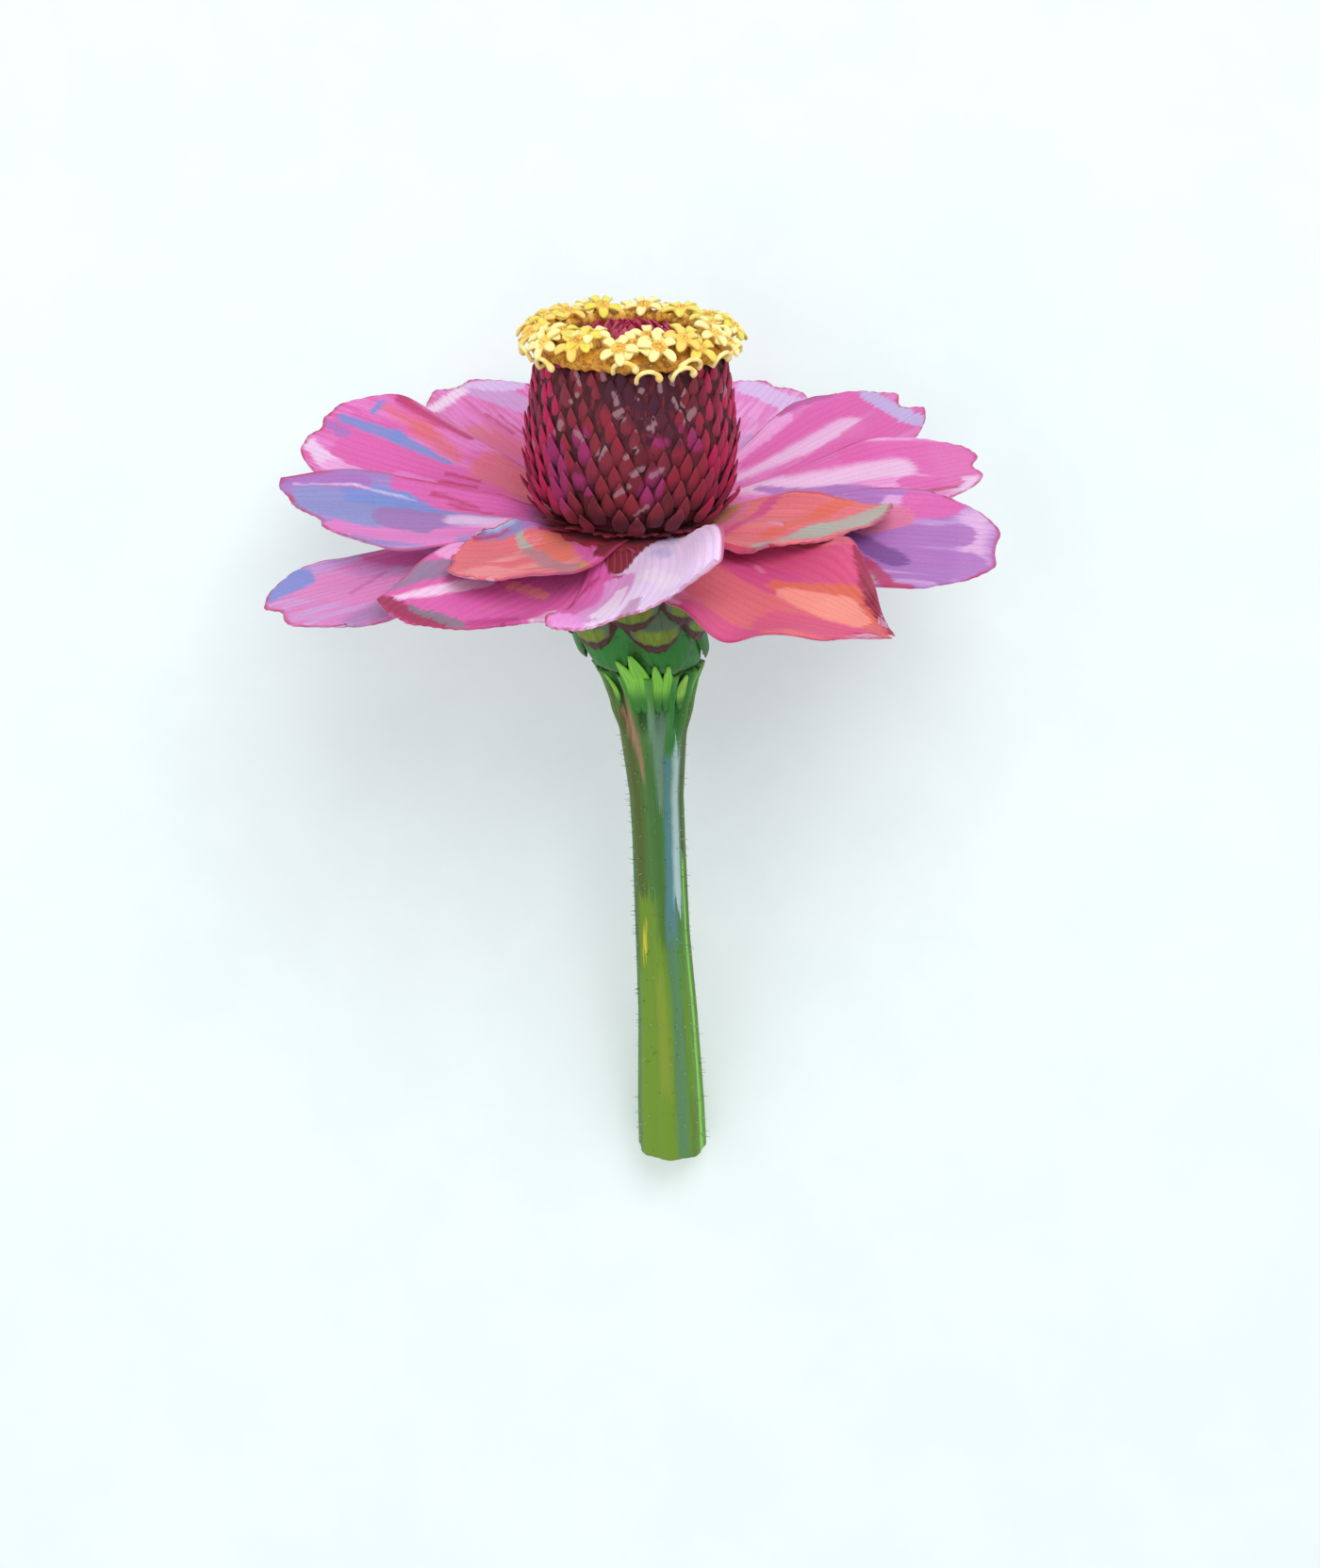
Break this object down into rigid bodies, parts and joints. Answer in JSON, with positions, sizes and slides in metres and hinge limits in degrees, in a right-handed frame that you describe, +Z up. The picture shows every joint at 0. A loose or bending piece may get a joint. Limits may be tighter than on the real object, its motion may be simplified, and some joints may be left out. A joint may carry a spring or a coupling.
{
  "type": "zinnia flower",
  "caption": "Cut zinnia flower lying on its back petals: spreading rays, a tall scaly disc ringed with small star florets, a bract cup and a short stem.",
  "frame": {"origin": "centre of the bounding box on the surface that the flower lies on", "axes": "+Z up from the surface, +Y along the surface from the cut stem towards the head, +X to the right seen from above with the head at the top"},
  "size_m": [0.0784, 0.0966, 0.0602],
  "materials": {
    "stem": "satin green stem with fine ribs and a few hairs",
    "bract": "matt olive bracts with dark red-brown margins",
    "petal": "velvety pink, mauve and coral with fine lengthwise veins",
    "scale": "matt burgundy scales with paler fringed tips",
    "floret": "matt golden yellow with pale lobes"
  },
  "bodies": {
    "root": {"stem": "stem", "involucre": "bract", "ray_petals": "petal", "disc_cone": "scale", "disc_florets": "floret"}
  },
  "joints": []
}
